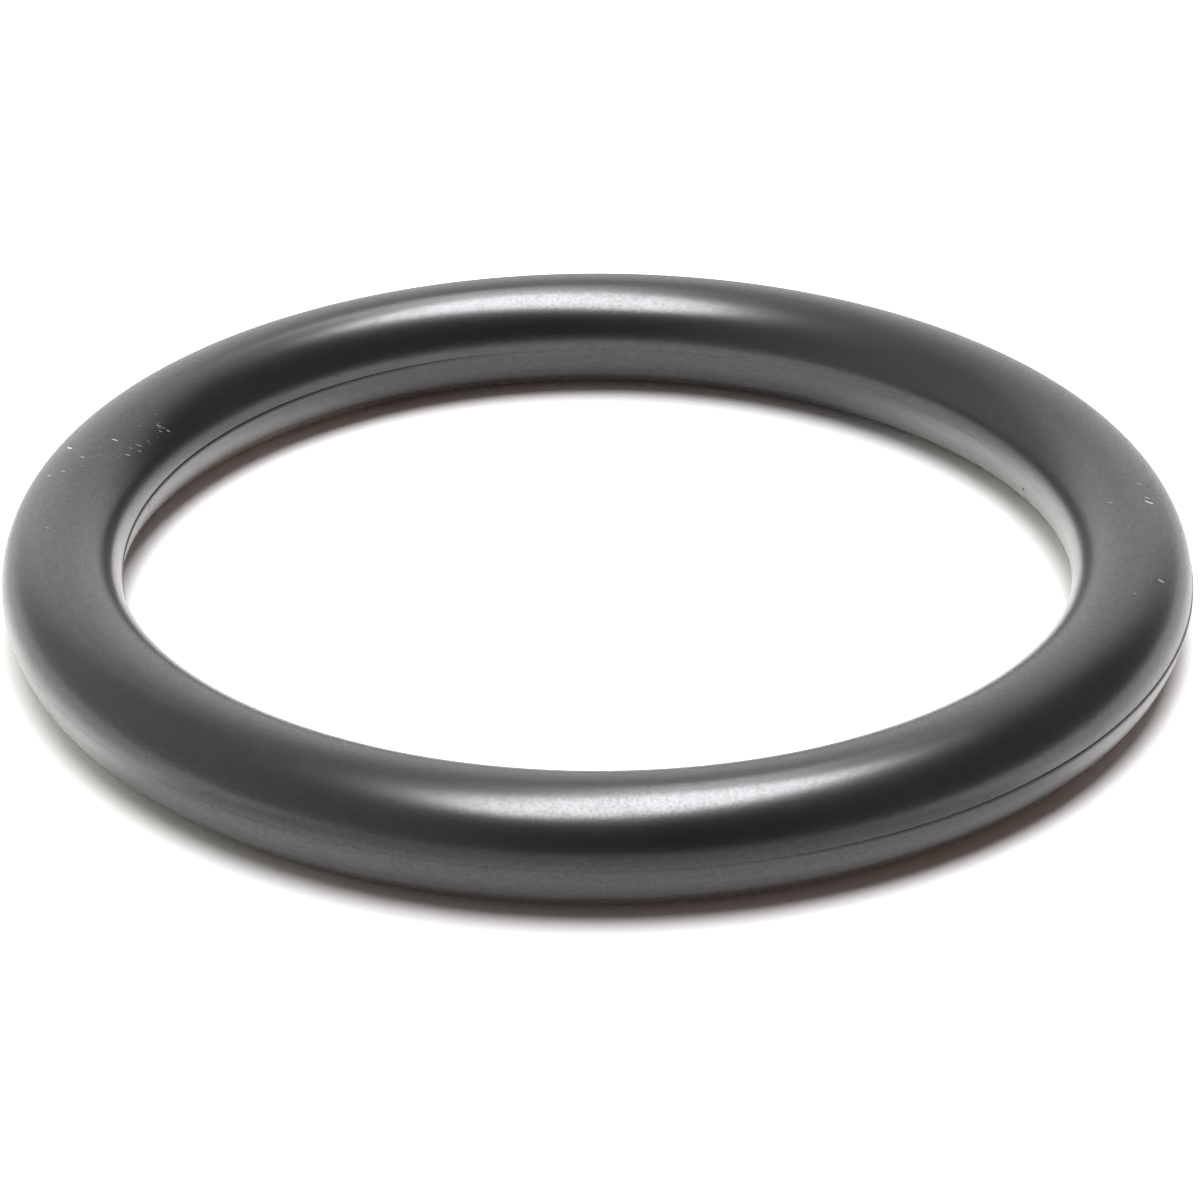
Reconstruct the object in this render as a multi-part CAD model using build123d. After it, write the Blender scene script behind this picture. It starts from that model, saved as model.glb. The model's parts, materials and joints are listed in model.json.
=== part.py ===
from build123d import *
import os

# Sealing ring for a fuel pump flange, compression moulded in one piece from black nitrile rubber.
# It is a round cord closed into a circle. The two mould halves meet on the ring's middle plane,
# and the flash that squeezed out between them is trimmed to a narrow raised line round the inside
# and another round the outside. Flash is sharp at its root and where it was trimmed.
#
# Frame: millimetres, +Z along the ring's axis, origin at the ring's centre on the parting plane.
# Lying flat, the ring touches the bench along its lowest circle, half a section below the origin.

# Driving dimensions
INSIDE_DIAMETER = 48.0  # free inside diameter of the round section, flash left out
SECTION_DIAMETER = 6.0  # diameter of the cord
FLASH_WIDTH = 0.2  # opening between the mould halves, across the line, along Z
FLASH_HEIGHT = 0.08  # how far the trimmed flash stands proud of the round

# Derived sizes
CENTRE_LINE_RADIUS = (INSIDE_DIAMETER + SECTION_DIAMETER) / 2


def ring_section():
    """Round section with the trimmed flash across it, in the XZ plane at the centre line."""
    with BuildSketch() as outline:
        Circle(SECTION_DIAMETER / 2)
        Rectangle(SECTION_DIAMETER + 2 * FLASH_HEIGHT, FLASH_WIDTH)
    return Plane.XZ * Pos(CENTRE_LINE_RADIUS, 0) * outline.sketch


def sealing_ring():
    """The moulded ring: its section turned once round the axis."""
    return revolve(ring_section(), Axis.Z, 360)


PARTS = {"sealing_ring": sealing_ring}

os.makedirs("parts", exist_ok=True)
for name, build in PARTS.items():
    solid = build()
    solid.label = name
    export_step(solid, f"parts/{name}.step")
    size = solid.bounding_box().size
    print(name, "volume", round(solid.volume, 1), "size", [round(v, 3) for v in size])
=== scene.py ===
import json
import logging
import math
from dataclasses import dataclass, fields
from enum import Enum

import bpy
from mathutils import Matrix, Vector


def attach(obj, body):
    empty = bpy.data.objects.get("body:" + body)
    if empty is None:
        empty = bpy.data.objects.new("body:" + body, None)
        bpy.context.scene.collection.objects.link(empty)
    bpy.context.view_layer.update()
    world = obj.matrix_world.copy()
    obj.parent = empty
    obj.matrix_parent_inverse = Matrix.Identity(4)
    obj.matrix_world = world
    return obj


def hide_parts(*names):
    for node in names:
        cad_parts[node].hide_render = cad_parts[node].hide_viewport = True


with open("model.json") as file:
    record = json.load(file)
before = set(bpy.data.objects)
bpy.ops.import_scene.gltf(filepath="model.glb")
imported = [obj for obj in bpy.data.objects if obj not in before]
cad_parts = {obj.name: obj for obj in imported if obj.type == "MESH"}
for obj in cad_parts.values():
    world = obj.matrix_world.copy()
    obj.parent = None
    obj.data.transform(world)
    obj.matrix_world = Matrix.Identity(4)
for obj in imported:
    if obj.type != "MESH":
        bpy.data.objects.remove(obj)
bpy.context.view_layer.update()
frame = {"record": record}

# Fuel pump sealing ring: its finish, its wear and a small studio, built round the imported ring.
#
# Lengths are metres, in the ring's own frame: Z is the ring's axis and the origin is its centre, on
# the parting plane. A place on the cord is given by its bearing, the angle round the ring from +X,
# and its lean, the angle round the cord's section from straight outwards. A lean of 0 is the
# outside, 90 degrees is the top of the cord, 180 is the side of the hole and 270 is what touches
# the floor.

BODY = "root"
CAD_NODE = "sealing_ring"
MM = 0.001
FULL_TURN = 2 * math.pi

Colour = tuple[float, float, float]
Direction = tuple[float, float, float]
Span = tuple[float, float]  # where something starts and where it ends
log = logging.getLogger("sealing_ring")


class InputKind(Enum):
    """What a named input of a geometry recipe takes."""

    NUMBER = "NodeSocketFloat"
    COUNT = "NodeSocketInt"
    FINISH = "NodeSocketMaterial"


class Surface(Enum):
    """Values that the meshes carry from point to point and the finishes read."""

    FLASH = "flash"
    PALENESS = "paleness"


class Signal:
    """One output of a node, with arithmetic that adds Math nodes to its graph."""

    def __init__(self, graph: "Graph", socket: bpy.types.NodeSocket | None) -> None:
        """Wraps an output socket, or nothing for a node that ends its tree."""
        self.graph = graph
        self.socket = socket

    def also(self, name: str) -> "Signal":
        """Another output of the same node."""
        return Signal(self.graph, self.graph.find(self.socket.node.outputs, name))

    def __add__(self, other: "Signal | float") -> "Signal":
        """Sum."""
        return self.graph.math("ADD", self, other)

    def __sub__(self, other: "Signal | float") -> "Signal":
        """Difference."""
        return self.graph.math("SUBTRACT", self, other)

    def __rsub__(self, other: float) -> "Signal":
        """Difference from a plain number, such as 1 - mask."""
        return self.graph.math("SUBTRACT", other, self)

    def __mul__(self, other: "Signal | float") -> "Signal":
        """Product."""
        return self.graph.math("MULTIPLY", self, other)

    def __truediv__(self, other: "Signal | float") -> "Signal":
        """Quotient."""
        return self.graph.math("DIVIDE", self, other)

    def __pow__(self, other: float) -> "Signal":
        """Power."""
        return self.graph.math("POWER", self, other)

    def __abs__(self) -> "Signal":
        """Size without sign."""
        return self.graph.math("ABSOLUTE", self)

    __radd__ = __add__
    __rmul__ = __mul__


class Graph:
    """A node tree that is filled from empty, one node at a time."""

    def __init__(self, tree: bpy.types.NodeTree) -> None:
        """Takes over a tree and empties it."""
        self.tree = tree
        tree.nodes.clear()

    def find(self, sockets: bpy.types.NodeInputs | bpy.types.NodeOutputs,
             key: str | int) -> bpy.types.NodeSocket:
        """Finds a socket that is in use.

        Args:
            sockets: a node's inputs or outputs.
            key: the socket's name, or its place among those in use.

        Returns:
            The socket.
        """
        in_use = [socket for socket in sockets if socket.enabled]
        if isinstance(key, int):
            return in_use[key]
        return next(socket for socket in in_use if socket.name == key)

    def feed(self, socket: bpy.types.NodeSocket, value: object) -> None:
        """Gives an input its value.

        Args:
            socket: the input.
            value: a Signal or a list of them, which are linked, or a plain value, which is set.
        """
        if isinstance(value, list):
            for single in value:
                self.feed(socket, single)
        elif isinstance(value, Signal):
            self.tree.links.new(value.socket, socket)
        elif socket.type == "RGBA":
            socket.default_value = (*value, 1.0)
        else:
            socket.default_value = value

    def node(self, kind: str, settings: dict[str, object] | None = None,
             values: dict[str | int, object] | None = None, output: str | int = 0) -> Signal:
        """Adds one node.

        Args:
            kind: the node's type.
            settings: its properties, set first. "captures" names the values that a Capture
                Attribute node keeps.
            values: what its inputs take, by name or by place.
            output: the output that is wanted.

        Returns:
            That output.
        """
        node = self.tree.nodes.new(kind)
        for name, setting in (settings or {}).items():
            if name == "captures":
                for item in setting:
                    node.capture_items.new("FLOAT", item)
            else:
                setattr(node, name, setting)
        for key, value in (values or {}).items():
            self.feed(self.find(node.inputs, key), value)
        return Signal(self, self.find(node.outputs, output) if node.outputs else None)

    def math(self, operation: str, *terms: Signal | float) -> Signal:
        """One Math node on one or two terms."""
        return self.node("ShaderNodeMath", {"operation": operation}, dict(enumerate(terms)))

    def step(self, value: Signal, low: Signal | float, high: Signal | float) -> Signal:
        """A smooth step from 0 where the value is low to 1 where it is high."""
        return self.node("ShaderNodeMapRange", {"interpolation_type": "SMOOTHSTEP"},
                         {"Value": value, "From Min": low, "From Max": high})

    def noise(self, place: Signal, lump: float, detail: float = 2.0,
              seed: Signal | float = 0.0) -> Signal:
        """Cloudy noise round 0.5.

        Args:
            place: where it is read.
            lump: the size of its lumps, in metres.
            detail: how many finer layers it has.
            seed: picks the pattern.

        Returns:
            The noise.
        """
        return self.node("ShaderNodeTexNoise", {"noise_dimensions": "4D"},
                         {"Vector": place, "W": seed, "Scale": 1 / lump, "Detail": detail})

    def blend(self, share: Signal, first: Signal | Colour, second: Signal | Colour) -> Signal:
        """The first colour where the share is 0, and the second where it is 1."""
        return self.node("ShaderNodeMix", {"data_type": "RGBA"},
                         {"Factor": share, "A": first, "B": second})

    def scale(self, colour: Signal | Colour, amount: Signal) -> Signal:
        """A colour made brighter or darker."""
        return self.node("ShaderNodeVectorMath", {"operation": "SCALE"},
                         {"Vector": colour, "Scale": amount})

    def vector(self, x: Signal | float, y: Signal | float, z: Signal | float) -> Signal:
        """A vector from its three parts."""
        return self.node("ShaderNodeCombineXYZ", values={"X": x, "Y": y, "Z": z})


class Recipe(Graph):
    """A Geometry Nodes tree with named inputs, which leaves one plain mesh behind."""

    def __init__(self, name: str) -> None:
        """Starts an empty recipe of that name."""
        super().__init__(bpy.data.node_groups.new(name, "GeometryNodeTree"))
        self.tree.interface.new_socket("Geometry", in_out="OUTPUT",
                                       socket_type="NodeSocketGeometry")
        self.given: dict[str, object] = {}
        self.chart: bpy.types.Mesh | None = None

    def begin(self, chart: bpy.types.Mesh) -> Signal:
        """Starts from a mesh, whose points may carry named values, before any named input."""
        self.chart = chart
        self.tree.interface.new_socket("Chart", in_out="INPUT", socket_type="NodeSocketGeometry")
        return self.node("NodeGroupInput", output="Chart")

    def carried(self, name: str, kind: str = "FLOAT") -> Signal:
        """A value that the chart's points carry."""
        return self.node("GeometryNodeInputNamedAttribute", {"data_type": kind}, {"Name": name})

    def ask(self, name: str, kind: InputKind, value: object) -> Signal:
        """Adds a named input.

        Args:
            name: what the input is called.
            kind: what it takes.
            value: what the modifier gives it.

        Returns:
            The input, for use in the tree.
        """
        socket = self.tree.interface.new_socket(name, in_out="INPUT", socket_type=kind.value)
        self.given[socket.identifier] = value
        return self.node("NodeGroupInput", output=name)

    def capture(self, geometry: Signal, name: str, value: Signal) -> Signal:
        """Keeps a value on the geometry's points. The result's also(name) is the kept value."""
        return self.node("GeometryNodeCaptureAttribute", {"captures": [name]},
                         {"Geometry": geometry, name: value})

    def mark(self, geometry: Signal, surface: Surface, value: Signal,
             domain: str = "POINT") -> Signal:
        """Writes a value onto the geometry for its finish to read."""
        return self.node("GeometryNodeStoreNamedAttribute", {"domain": domain},
                         {"Geometry": geometry, "Name": surface.value, "Value": value})

    def cast(self, name: str, geometry: Signal, finish: bpy.types.Material) -> bpy.types.Object:
        """Ends the tree and turns what it makes into a plain mesh object.

        Args:
            name: the piece's name.
            geometry: what the tree has made.
            finish: the piece's material.

        Returns:
            The piece, at the origin, with no modifier left on it.
        """
        wanted = self.ask("Finish", InputKind.FINISH, finish)
        smooth = self.node("GeometryNodeSetShadeSmooth", values={"Geometry": geometry})
        real = self.node("GeometryNodeRealizeInstances", values={"Geometry": smooth})
        dressed = self.node("GeometryNodeSetMaterial",
                            values={"Geometry": real, "Material": wanted})
        self.node("NodeGroupOutput", values={"Geometry": dressed})

        piece = bpy.data.objects.new(name, self.chart or bpy.data.meshes.new(name + "_start"))
        bpy.context.scene.collection.objects.link(piece)
        modifier = piece.modifiers.new(self.tree.name, "NODES")
        modifier.node_group = self.tree
        for identifier, value in self.given.items():
            modifier[identifier] = value
        evaluated = piece.evaluated_get(bpy.context.evaluated_depsgraph_get())
        mesh = bpy.data.meshes.new_from_object(evaluated)
        piece.modifiers.remove(modifier)
        piece.data = mesh
        mesh.name = name
        for carried in [value.name for value in self.chart.attributes] if self.chart else []:
            if carried in mesh.attributes and not mesh.attributes[carried].is_required:
                mesh.attributes.remove(mesh.attributes[carried])
        log.info("%s: %d vertices, %d faces", name, len(mesh.vertices), len(mesh.polygons))
        return piece


@dataclass(frozen=True)
class RingSizes:
    """The ring's sizes, in metres."""

    centre_line: float  # radius of the circle that the cord follows
    section: float  # radius of the cord
    flash_width: float
    flash_height: float

    @classmethod
    def from_record(cls, record: dict) -> "RingSizes":
        """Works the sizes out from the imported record's mounts.

        Args:
            record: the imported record.

        Returns:
            The sizes.
        """
        mounts = {mount["name"]: mount for mount in record["mounts"]}
        inside = mounts["inside_diameter"]["dims"]
        outside = mounts["outside_diameter"]["dims"]
        section = mounts["flange_side"]["pos_m"][2]
        reach = (outside["r_mm"] - inside["r_mm"]) / 2 * MM
        return cls(
            centre_line=(outside["r_mm"] + inside["r_mm"]) / 2 * MM,
            section=section,
            flash_width=outside["length_mm"] * MM,
            flash_height=reach - section,
        )


@dataclass(frozen=True)
class RubberFinish:
    """Black rubber from a polished mould: finely grained, and duller where it was torn."""

    name: str = "black_nitrile_rubber"
    body: Colour = (0.0085, 0.0090, 0.0100)
    bloom: Colour = (0.0150, 0.0155, 0.0165)  # the faint grey film that comes up on old rubber
    gloss: float = 0.28  # roughness of the moulded rubber
    torn_roughness: float = 0.48
    torn_loss: float = 0.6  # share of the skin that is missing from torn flash
    skin: float = 1.0  # weight of the shiny outermost skin
    skin_roughness: float = 0.24
    skin_index: float = 1.92  # well above real rubber's, so that plain light is enough
    film_loss: float = 0.12  # share of the skin's shine that the film hides
    pit_loss: float = 0.38  # and that the pits of the grain lack
    grain_size: float = 0.13 * MM
    grain_depth: float = 0.005 * MM
    cloud_size: float = 8 * MM  # lumps of the film
    cloud_span: Span = (0.40, 0.68)  # noise between which they come up
    cloud_share: float = 0.6
    smear_size: float = 1.6 * MM  # finer lumps of the film
    smear_span: Span = (0.50, 0.75)
    smear_share: float = 0.4
    pit_span: Span = (0.35, 0.70)
    film_roughness: float = 0.05  # how much rougher the film makes the rubber
    pit_roughness: float = 0.03  # and the pits

    def make(self) -> bpy.types.Material:
        """Builds the material.

        Returns:
            The material, which reads the piece's flash value and its Object coordinates.
        """
        material = bpy.data.materials.new(self.name)
        material.use_nodes = True
        graph = Graph(material.node_tree)
        place = graph.node("ShaderNodeTexCoord", output="Object")
        flash = graph.node("ShaderNodeAttribute", {"attribute_name": Surface.FLASH.value},
                           output="Fac")
        cloud = graph.step(graph.noise(place, self.cloud_size, 3.0), *self.cloud_span)
        smear = graph.step(graph.noise(place, self.smear_size, 2.0, 3.0), *self.smear_span)
        film = cloud * self.cloud_share + smear * self.smear_share
        grain = graph.noise(place, self.grain_size, 2.0, 5.0)
        pits = graph.step(grain, *self.pit_span)
        normal = graph.node("ShaderNodeBump",
                            values={"Distance": self.grain_depth, "Height": grain})
        shader = graph.node("ShaderNodeBsdfPrincipled", values={
            "Base Color": graph.blend(film, self.body, self.bloom),
            "Roughness": self.gloss + film * self.film_roughness + pits * self.pit_roughness
            + flash * (self.torn_roughness - self.gloss),
            "Coat Weight": (self.skin - film * self.film_loss - pits * self.pit_loss)
            * (1 - flash * self.torn_loss),
            "Coat Roughness": self.skin_roughness,
            "Coat IOR": self.skin_index,
            "Specular IOR Level": 1.0,
            "Normal": normal,
        })
        graph.node("ShaderNodeOutputMaterial", values={"Surface": shader})
        return material


@dataclass(frozen=True)
class GlintPaintFinish:
    """Pale colour painted on the small raised marks as their glints of the lamp, from dull grey to
    chalky.
    """

    name: str = "scuffed_rubber"
    # Painted glint colours: the faintest marks are dull grey and the brightest chalky.
    dim_glint: Colour = (0.17, 0.17, 0.17)
    bright_glint: Colour = (0.78, 0.78, 0.76)
    crumb_size: float = 0.05 * MM
    even_share: float = 0.7  # share of the paleness that is even
    crumb_share: float = 0.6  # and how strongly the crumbs vary it
    roughness: float = 0.5
    crumb_roughness: float = 0.2

    def make(self) -> bpy.types.Material:
        """Builds the material.

        Returns:
            The material, which reads the piece's paleness and its Object coordinates.
        """
        material = bpy.data.materials.new(self.name)
        material.use_nodes = True
        graph = Graph(material.node_tree)
        place = graph.node("ShaderNodeTexCoord", output="Object")
        pale = graph.node("ShaderNodeAttribute", {"attribute_name": Surface.PALENESS.value},
                          output="Fac")
        crumbs = graph.noise(place, self.crumb_size, 2.0)
        # How bright the painted glint is, partly even and partly varied by the crumbs.
        glint_level = pale * (self.even_share + crumbs * self.crumb_share)
        shader = graph.node("ShaderNodeBsdfPrincipled", values={
            "Base Color": graph.blend(glint_level, self.dim_glint, self.bright_glint),
            "Roughness": self.roughness + crumbs * self.crumb_roughness,
        })
        graph.node("ShaderNodeOutputMaterial", values={"Surface": shader})
        return material


@dataclass(frozen=True)
class FloorFinish:
    """White card, as bright as it needs to be in scattered light, in reflections and as seen."""

    ring: float  # radius of the ring's centre line
    name: str = "white_card"
    card: Colour = (0.80, 0.80, 0.80)
    mirrored: Colour = (0.74, 0.73, 0.71)  # what the ring mirrors
    sides: float = 0.8  # painted reflection light: how much brighter the card shows in reflections to its left and right
    sides_span: Span = (10 * MM, 18 * MM)  # distance aside over which that comes up
    front: float = 0.6  # how much nearer the middle each step towards the front counts
    outside: float = -0.5  # painted reflection shade: how much dimmer it shows in reflections further out
    outside_span: Span = (30 * MM, 42 * MM)  # distance from the axis over which that comes up
    under: float = 1.5  # painted reflection light: how much brighter it shows in reflections close under the cord, in the ring's shadow
    under_span: Span = (1 * MM, 3.2 * MM)  # distance from the cord's middle over which that goes
    seen: Colour = (1.5, 1.49, 1.46)

    def make(self) -> bpy.types.Material:
        """Builds the material.

        Returns:
            The material. It only scatters light, so the floor keeps the ring's shadow.
        """
        material = bpy.data.materials.new(self.name)
        material.use_nodes = True
        graph = Graph(material.node_tree)
        place = graph.node("ShaderNodeTexCoord", output="Object")
        x = graph.node("ShaderNodeSeparateXYZ", values={"Vector": place}, output="X")
        radius = graph.math("SQRT", x * x + x.also("Y") ** 2.0)
        aside = abs(x) - graph.math("MAXIMUM", x.also("Y") * -self.front, 0.0)
        # Painted light in reflections: for glossy rays the card is made brighter at its sides and
        # close under the cord, and dimmer further out.
        away = graph.step(abs(radius - self.ring), *self.under_span)
        level = ((1 + graph.step(aside, *self.sides_span) * self.sides)
                 * (1 + graph.step(radius, *self.outside_span) * self.outside)
                 * (1 + (1 - away) * self.under))
        camera = graph.node("ShaderNodeLightPath", output="Is Camera Ray")
        mirrored = graph.scale(self.mirrored, level)
        unseen = graph.blend(camera.also("Is Glossy Ray"), self.card, mirrored)
        shader = graph.node("ShaderNodeBsdfDiffuse",
                            values={"Color": graph.blend(camera, unseen, self.seen)})
        graph.node("ShaderNodeOutputMaterial", values={"Surface": shader})
        return material


@dataclass(frozen=True)
class MouldedRing:
    """The ring itself: a round cord with the trimmed flash of its mould inside and outside."""

    sizes: RingSizes
    name: str = "moulded_ring"
    steps_around: int = 720
    steps_across: int = 128
    crowding: float = 0.45  # how strongly the points gather at the flash: 0 is evenly, under 0.5
    flash_wear: float = 0.7  # share of the flash's height that the trimming may take
    clean_trim: float = 0.22  # how much flash is left on the walls that face away from +X
    rough_trim: Span = (0.0, 0.8)  # how squarely a wall faces +X as its flash grows to the full
    slimmest: float = 0.25  # half width of flash that is all trimmed off, as a share of its width
    run_out: Span = (0.8, 1.2)  # where the flash runs out, as shares of its half width
    coarse_size: float = 2.2 * MM  # lumps of the ragged crest
    coarse_share: float = 0.6
    fine_size: float = 0.5 * MM
    fine_share: float = 0.4
    seed: int = 4

    def build(self, finish: bpy.types.Material) -> bpy.types.Object:
        """Turns the section round the axis, with its flash trimmed unevenly.

        Args:
            finish: the ring's material.

        Returns:
            The ring.
        """
        recipe = Recipe("moulding")
        centre_line = recipe.ask("Centre line radius", InputKind.NUMBER, self.sizes.centre_line)
        section = recipe.ask("Section radius", InputKind.NUMBER, self.sizes.section)
        width = recipe.ask("Flash width", InputKind.NUMBER, self.sizes.flash_width)
        height = recipe.ask("Flash height", InputKind.NUMBER, self.sizes.flash_height)
        wear = recipe.ask("Flash wear", InputKind.NUMBER, self.flash_wear)
        least = recipe.ask("Flash left by the cleanest trim", InputKind.NUMBER, self.clean_trim)
        seed = recipe.ask("Seed", InputKind.COUNT, self.seed)
        around = recipe.ask("Steps around", InputKind.COUNT, self.steps_around)
        across = recipe.ask("Steps across", InputKind.COUNT, self.steps_across)
        crowding = recipe.ask("Crowding at the flash", InputKind.NUMBER, self.crowding)

        index = recipe.node("GeometryNodeInputIndex")
        turn = index / across * FULL_TURN
        lean = turn - crowding * recipe.math("SINE", turn * 2)
        loop = self.circle(recipe, around, centre_line, "bearing", index / around * FULL_TURN)
        outline = self.circle(recipe, across, section, "lean", lean)
        tube = recipe.node("GeometryNodeCurveToMesh",
                           values={"Curve": loop, "Profile Curve": outline})

        bearing, lean = loop.also("bearing"), outline.also("lean")
        along_x, along_y = recipe.math("COSINE", bearing), recipe.math("SINE", bearing)
        round_reach = section * recipe.math("COSINE", lean)
        rise = section * recipe.math("SINE", lean)
        side = recipe.math("SIGN", round_reach)
        left = least + (1 - least) * recipe.step(side * along_x, *self.rough_trim)
        half = width * (self.slimmest + left * (0.5 - self.slimmest))
        flash = 1 - recipe.step(abs(rise), *(half * share for share in self.run_out))
        wall = centre_line + side * section
        place = recipe.vector(wall * along_x, wall * along_y, 0.0)
        ragged = (recipe.noise(place, self.coarse_size, 2.0, seed) * self.coarse_share
                  + recipe.noise(place, self.fine_size, 2.0, seed) * self.fine_share)
        crest = section + height * left * left * (1 - wear * ragged)
        radius = centre_line + round_reach + flash * side * (crest - abs(round_reach))
        shaped = recipe.node("GeometryNodeSetPosition", values={
            "Geometry": tube, "Position": recipe.vector(radius * along_x, radius * along_y, rise)})
        marked = recipe.mark(shaped, Surface.FLASH, flash * left)
        # The sweep leaves the faces pointing into the cord, so they are turned round.
        outward = recipe.node("GeometryNodeFlipFaces", values={"Mesh": marked})
        return recipe.cast(self.name, outward, finish)

    def circle(self, recipe: Recipe, steps: Signal, radius: Signal, name: str,
               angle: Signal) -> Signal:
        """A closed circle whose points know their angle.

        Args:
            recipe: the tree that it goes into.
            steps: how many points it has.
            radius: its radius.
            name: what the angle is called.
            angle: the angle of each point.

        Returns:
            The circle, with the angle as its other output.
        """
        curve = recipe.node("GeometryNodeCurvePrimitiveCircle", {"mode": "RADIUS"},
                            {"Resolution": steps, "Radius": radius})
        return recipe.capture(curve, name, angle)


@dataclass(frozen=True)
class Patch:
    """A patch of short marks on the cord, which run nearly the same way. Angles are degrees."""

    name: str
    bearing: float  # of its middle
    lean: float  # of its middle
    bearing_spread: float
    lean_spread: float
    count: int
    length: float = 0.26 * MM
    width: float = 0.09 * MM
    height: float = 0.014 * MM
    least_pale: float = 0.0
    most_pale: float = 0.35
    variety: float = 1.0  # how much the marks differ, 0 is not at all
    cut: Direction = (0.29, 0.45, 0.84)  # they lie as cuts square to this way would

    @classmethod
    def single(cls, name: str, bearing: float, lean: float, length_mm: float, pale: float,
               **more: float | Direction) -> "Patch":
        """A patch of one mark, in its exact place.

        Args:
            name: what the mark is called.
            bearing: where it is round the ring.
            lean: where it is round the section.
            length_mm: its length, in millimetres.
            pale: its paleness.
            more: any other field.

        Returns:
            The patch.
        """
        return cls(name, bearing, lean, 0.0, 0.0, 1, length=length_mm * MM, least_pale=pale,
                   most_pale=pale, variety=0.0, **more)


@dataclass(frozen=True)
class GlintedMarks:
    """The small raised marks on the cord, in patches, and nibs that the trimming left; their pale
    colour is painted glint of the lamp.
    """

    sizes: RingSizes
    patches: tuple[Patch, ...]
    name: str = "scuffs_and_nibs"
    seed: int = 21
    jitter: float = 0.08  # how far the marks of a patch stray from its cut
    length_change: Span = (-0.5, 0.3)  # least and most, as shares of the patch's length
    width_change: Span = (-0.4, 0.2)
    segments: int = 10  # of each mark, round its long way
    rings: int = 6

    def build(self, finish: bpy.types.Material) -> bpy.types.Object:
        """Strews the patches over the cord.

        Args:
            finish: the marks' material.

        Returns:
            All the marks, as one piece.
        """
        recipe = Recipe("scuffing")
        chart = recipe.begin(self.chart())
        centre_line = recipe.ask("Centre line radius", InputKind.NUMBER, self.sizes.centre_line)
        section = recipe.ask("Section radius", InputKind.NUMBER, self.sizes.section)
        jitter = recipe.ask("Jitter", InputKind.NUMBER, self.jitter)
        variety = recipe.carried("variety")

        marks = recipe.node("GeometryNodeDuplicateElements", {"domain": "POINT"},
                            {"Geometry": chart, "Amount": recipe.carried("count")})
        bearing, lean = self.scatter(recipe, "bearing", 0), self.scatter(recipe, "lean", 2)
        along_x, along_y = recipe.math("COSINE", bearing), recipe.math("SINE", bearing)
        outward, upward = recipe.math("COSINE", lean), recipe.math("SINE", lean)
        radius = centre_line + section * outward
        placed = recipe.node("GeometryNodeSetPosition", values={
            "Geometry": marks,
            "Position": recipe.vector(radius * along_x, radius * along_y, section * upward)})

        normal = recipe.vector(outward * along_x, outward * along_y, upward)
        stray = recipe.node("FunctionNodeRandomValue", {"data_type": "FLOAT_VECTOR"}, {
            "Min": (-1.0, -1.0, -1.0), "Max": (1.0, 1.0, 1.0), "Seed": self.seed + 4})
        cut = recipe.node("ShaderNodeVectorMath", {"operation": "ADD"}, {
            0: recipe.carried("cut", "FLOAT_VECTOR"), 1: recipe.scale(stray, jitter * variety)})
        way = recipe.node("ShaderNodeVectorMath", {"operation": "CROSS_PRODUCT"},
                          {0: normal, 1: cut})
        rotation = recipe.node("FunctionNodeAxesToRotation",
                               {"primary_axis": "Z", "secondary_axis": "X"},
                               {"Primary Axis": normal, "Secondary Axis": way})
        longer = variety * self.chance(recipe, 5, *self.length_change)
        wider = variety * self.chance(recipe, 6, *self.width_change)
        scale = recipe.vector(recipe.carried("length") * (1 + longer),
                              recipe.carried("width") * (1 + wider), recipe.carried("height"))
        sliver = recipe.node("GeometryNodeMeshUVSphere", values={
            "Segments": self.segments, "Rings": self.rings, "Radius": 0.5})
        laid = recipe.node("GeometryNodeInstanceOnPoints", values={
            "Points": placed, "Instance": sliver, "Rotation": rotation, "Scale": scale})
        least, most = recipe.carried("least_pale"), recipe.carried("most_pale")
        # The paleness is the painted glint of each mark.
        paleness = least + self.chance(recipe, 7, 0.0, 1.0) ** 2.0 * (most - least)
        marked = recipe.mark(laid, Surface.PALENESS, paleness, "INSTANCE")
        return recipe.cast(self.name, marked, finish)

    def chart(self) -> bpy.types.Mesh:
        """One point for each patch, which carries the patch's numbers by name."""
        chart = bpy.data.meshes.new(self.name + "_chart")
        chart.vertices.add(len(self.patches))
        for field in fields(Patch):
            values = [getattr(patch, field.name) for patch in self.patches]
            if isinstance(values[0], tuple):
                carried = chart.attributes.new(field.name, "FLOAT_VECTOR", "POINT")
                carried.data.foreach_set("vector", [part for value in values for part in value])
            elif not isinstance(values[0], str):
                carried = chart.attributes.new(field.name, "FLOAT", "POINT")
                carried.data.foreach_set("value", values)
        return chart

    def chance(self, recipe: Recipe, draw: int, low: float, high: float) -> Signal:
        """An even random number for each mark, of its own for each draw."""
        return recipe.node("FunctionNodeRandomValue",
                           values={"Min": low, "Max": high, "Seed": self.seed + draw})

    def scatter(self, recipe: Recipe, angle: str, draw: int) -> Signal:
        """An angle that is likelier near the middle of its spread.

        Args:
            recipe: the tree that it goes into.
            angle: the patch's name for it.
            draw: the first of its two random draws.

        Returns:
            The angle, in radians.
        """
        spread = recipe.carried(angle + "_spread")
        toss = self.chance(recipe, draw, -0.5, 0.5) + self.chance(recipe, draw + 1, -0.5, 0.5)
        return recipe.math("RADIANS", recipe.carried(angle) + spread * toss)


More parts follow.
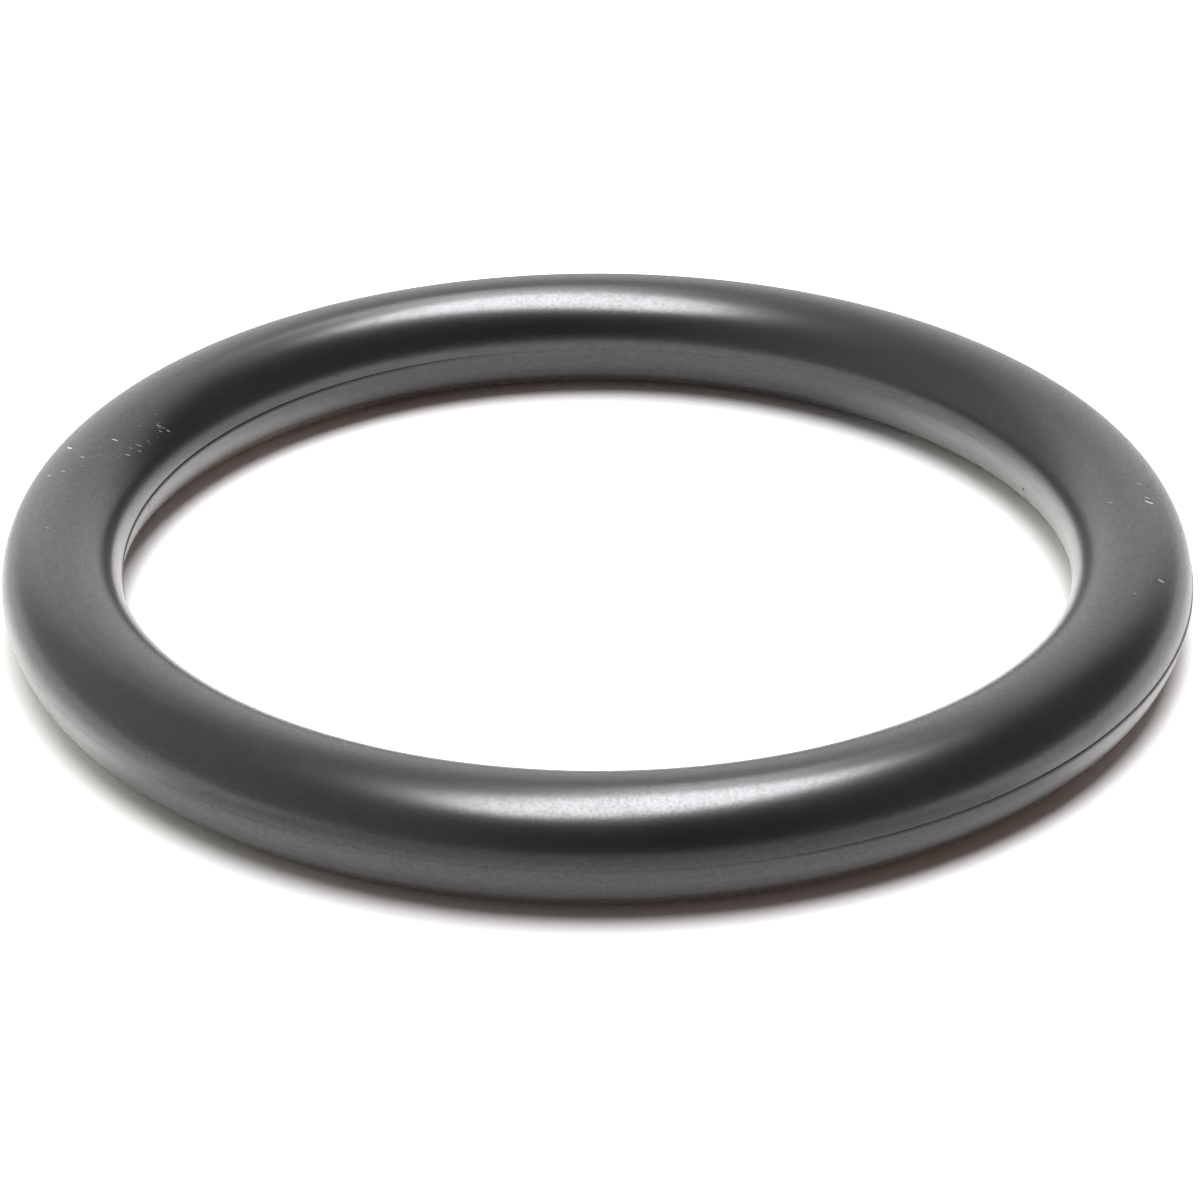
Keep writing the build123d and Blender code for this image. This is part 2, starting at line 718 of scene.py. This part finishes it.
@dataclass(frozen=True)
class Softbox:
    """An oval soft lamp, which faces down. Its angles are degrees, as seen from the ring."""

    name: str
    radiance: float  # 1 looks as bright as lit white card
    long: float  # half the angle that its long way fills
    short: float  # half the angle that its short way fills
    turn: float = 0.0  # of the long way, from +X
    right: float = 0.0  # of its middle, off the zenith towards +X
    back: float = 0.0  # of its middle, off the zenith towards +Y
    height: float = 1.5
    tint: Colour = (1.0, 1.0, 1.0)

    def hang(self) -> None:
        """Puts the lamp over the ring."""
        lamp = bpy.data.lights.new(self.name, "AREA")
        lamp.shape = "ELLIPSE"
        lamp.size = 2 * self.reach(self.long)
        lamp.size_y = 2 * self.reach(self.short)
        lamp.energy = self.radiance * math.pi * (math.pi / 4 * lamp.size * lamp.size_y)
        lamp.color = self.tint
        stand = bpy.data.objects.new(self.name, lamp)
        stand.location = (self.reach(self.right), self.reach(self.back), self.height)
        stand.rotation_euler = (0.0, 0.0, math.radians(self.turn))
        bpy.context.scene.collection.objects.link(stand)

    def reach(self, angle: float) -> float:
        """How far from the middle a direction that leans this much meets the lamp's height."""
        return self.height * math.tan(math.radians(angle))


@dataclass(frozen=True)
class Room:
    """What surrounds the ring: a dim room with a pale wall behind and some light from the left."""

    name: str = "room"
    dim: float = 0.025
    left: float = 0.27
    right: float = 0.06
    back_wall: float = 0.69
    wall_edge: float = 0.545  # cosine of the bearing from straight behind at which the wall ends
    wall_top: float = 0.40  # height above which the wall fades out, 1 is the zenith
    scattered: Colour = (0.72, 0.73, 0.75)  # the tint of the light that falls on matte things
    mirrored: Colour = (0.98, 0.985, 1.0)  # the tint that reflections show
    backdrop: Colour = (1.0, 1.0, 1.0)
    window: Colour = (2.3, 2.3, 2.1)  # light on matte things from a window behind and to the left
    window_way: Direction = (-0.69, 0.64, 0.34)
    window_edge: float = 0.74  # cosine of the angle at which it fades out
    bench: Colour = (0.115, 0.045, 0.015)  # and from a wooden bench in front and to the right
    bench_way: Direction = (0.68, -0.68, 0.27)
    bench_edge: float = 0.5
    least_flat: float = 1e-6  # keeps the bearing defined straight up

    def make(self) -> None:
        """Builds the world."""
        world = bpy.data.worlds.new(self.name)
        world.use_nodes = True
        graph = Graph(world.node_tree)
        way = graph.node("ShaderNodeTexCoord", output="Generated")
        x = graph.node("ShaderNodeSeparateXYZ", values={"Vector": way}, output="X")
        y, z = x.also("Y"), x.also("Z")
        flat = graph.math("SQRT", x * x + y * y + self.least_flat)
        wall = graph.step(y / flat, self.wall_edge, 1.0) * (1 - graph.step(z, self.wall_top, 1.0))
        level = (self.dim
                 + graph.math("MAXIMUM", x * -1.0, 0.0) * self.left
                 + graph.math("MAXIMUM", x, 0.0) * self.right
                 + wall * self.back_wall)
        camera = graph.node("ShaderNodeLightPath", output="Is Camera Ray")
        scattered = graph.scale(self.scattered, level)
        for colour, towards, edge in ((self.window, self.window_way, self.window_edge),
                                      (self.bench, self.bench_way, self.bench_edge)):
            facing = graph.node("ShaderNodeVectorMath", {"operation": "DOT_PRODUCT"},
                                {0: way, 1: towards}, "Value")
            scattered = graph.node("ShaderNodeVectorMath", {"operation": "ADD"}, {
                0: scattered, 1: graph.scale(colour, graph.step(facing, edge, 1.0))})
        mirrored = graph.scale(self.mirrored, level)
        lit = graph.blend(camera.also("Is Glossy Ray"), scattered, mirrored)
        background = graph.node("ShaderNodeBackground", values={
            "Color": graph.blend(camera, lit, self.backdrop), "Strength": 1.0})
        graph.node("ShaderNodeOutputWorld", values={"Surface": background})
        bpy.context.scene.world = world


@dataclass(frozen=True)
class Floor:
    """The white card that the ring lies on."""

    level: float
    half_side: float = 3.0
    name: str = "floor"

    def lay(self, finish: bpy.types.Material) -> None:
        """Lays the floor under the ring.

        Args:
            finish: the floor's material.
        """
        side, level = self.half_side, self.level
        corners = [(x * side, y * side, level) for x, y in ((-1, -1), (1, -1), (1, 1), (-1, 1))]
        mesh = bpy.data.meshes.new(self.name)
        mesh.from_pydata(corners, [], [(0, 1, 2, 3)])
        mesh.materials.append(finish)
        floor = bpy.data.objects.new(self.name, mesh)
        bpy.context.scene.collection.objects.link(floor)
        log.info("floor at %.2f mm", level / MM)


@dataclass(frozen=True)
class Studio:
    """The floor, the room and the lamps."""

    floor: Floor
    card: FloorFinish
    room: Room
    lamps: tuple[Softbox, ...]

    def build(self) -> None:
        """Sets the studio up."""
        self.floor.lay(self.card.make())
        self.room.make()
        for lamp in self.lamps:
            lamp.hang()
            log.info("lamp %s", lamp.name)


@dataclass(frozen=True)
class Viewpoint:
    """The camera: a long lens, which looks down on the ring from the front."""

    distance: float = 0.2153
    elevation: float = 28.3
    lens: float = 127.2
    shift_x: float = 0.0025
    shift_y: float = -0.0386
    sensor: float = 36.0  # millimetres, as the lens is
    nearest: float = 0.01  # what is nearer than this is not drawn

    def place(self) -> None:
        """Puts the camera in its place, aimed at the ring's centre."""
        data = bpy.data.cameras.new("camera")
        data.lens = self.lens
        data.sensor_width = self.sensor
        data.shift_x = self.shift_x
        data.shift_y = self.shift_y
        data.clip_start = self.nearest
        camera = bpy.data.objects.new("camera", data)
        tilt = math.radians(self.elevation)
        camera.location = Vector((0.0, -math.cos(tilt), math.sin(tilt))) * self.distance
        camera.rotation_euler = (math.pi / 2 - tilt, 0.0, 0.0)
        bpy.context.scene.collection.objects.link(camera)
        bpy.context.scene.camera = camera


@dataclass(frozen=True)
class SealingRing:
    """The whole object: the moulded ring and the marks on it."""

    ring: MouldedRing
    scuffs: GlintedMarks

    def build(self) -> None:
        """Makes both pieces and sets them on the CAD body."""
        ring = self.ring.build(RubberFinish().make())
        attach(ring, BODY)
        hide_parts(CAD_NODE)
        marks = self.scuffs.build(GlintPaintFinish().make())
        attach(marks, BODY)


def main() -> None:
    """Builds the ring, the studio and the camera."""
    logging.basicConfig(level=logging.INFO, format="%(name)s: %(message)s")
    bpy.context.scene.view_settings.view_transform = "Standard"
    sizes = RingSizes.from_record(frame["record"])
    # The marks are small raised bumps and nibs; their pale colour is painted glint of the lamp.
    scuffs = GlintedMarks(sizes, (
        Patch("left cluster", 161.0, 130.0, 9.0, 18.0, count=14, width=0.065 * MM, most_pale=0.12),
        Patch("left scatter", 171.0, 95.0, 14.0, 44.0, count=24, width=0.065 * MM, most_pale=0.14),
        Patch("right scatter", 0.0, 85.0, 11.0, 34.0, count=12, width=0.065 * MM, most_pale=0.16),
        Patch("nicks in the inner flash", 166.5, 186.0, 6.0, 5.0, count=7, length=0.2 * MM,
              least_pale=0.2, most_pale=0.6),
        Patch.single("left outer scuff", 167.0, 70.0, 0.60, 1.0, width=0.14 * MM),
        Patch.single("left top scuff", 164.0, 108.5, 0.36, 1.0, width=0.10 * MM),
        Patch.single("left middle scuff", 169.5, 91.5, 0.36, 0.60, width=0.08 * MM),
        Patch.single("left low scuff", 173.0, 80.5, 0.46, 0.30, width=0.12 * MM),
        Patch.single("left edge scuff", 173.25, 66.0, 0.62, 0.35, width=0.14 * MM),
        Patch.single("left lowest scuff", -174.25, 79.5, 0.42, 0.15, width=0.12 * MM),
        Patch.single("left inner scuff", 165.25, 128.0, 0.36, 0.40),
        Patch.single("cluster upper streak", 162.25, 130.0, 0.46, 0.22),
        Patch.single("cluster lower streak", 163.0, 134.5, 0.34, 0.15),
        Patch.single("cluster nick", 163.75, 126.0, 0.22, 0.20),
        Patch.single("far streak", 156.75, 129.5, 0.34, 0.25),
        Patch.single("far nick", 157.25, 135.0, 0.24, 0.25),
        Patch.single("far edge nick", 156.0, 140.0, 0.30, 0.30),
        Patch.single("left scratch", 178.75, 129.0, 0.7, 0.10, width=0.04 * MM),
        Patch.single("right long scuff", 0.25, 73.0, 0.56, 1.0, width=0.15 * MM),
        Patch.single("right short scuff", 1.25, 73.5, 0.36, 0.45, width=0.14 * MM),
        Patch.single("right edge scuff", 6.25, 52.0, 0.60, 0.60, width=0.12 * MM),
        Patch.single("right far scuff", 4.25, 77.0, 0.36, 0.45, width=0.10 * MM),
        Patch.single("right inner scuff", 0.5, 111.0, 0.40, 0.18),
        Patch.single("right low scuff", -15.25, 57.5, 0.44, 0.35, width=0.18 * MM,
                     cut=(0.45, 0.43, 0.79)),
        Patch.single("right lowest scuff", -20.0, 75.5, 0.26, 0.10, width=0.16 * MM),
        Patch.single("moulding nib", 21.5, 198.0, 0.16, 0.3, width=0.14 * MM, height=0.12 * MM),
    ))
    SealingRing(MouldedRing(sizes), scuffs).build()
    Studio(
        floor=Floor(level=-sizes.section),
        card=FloorFinish(ring=sizes.centre_line),
        room=Room(),
        lamps=(Softbox("key", radiance=6.5, long=26.8, short=14.7, turn=53.0, right=2.9, back=-4.2,
                       tint=(0.97, 0.97, 1.0)),
               Softbox("fill", radiance=2.6, long=29.6, short=6.8, turn=85.0, right=4.7, back=16.7,
                       tint=(0.97, 0.97, 1.0))),
    ).build()
    Viewpoint().place()


if __name__ == "__main__":
    main()
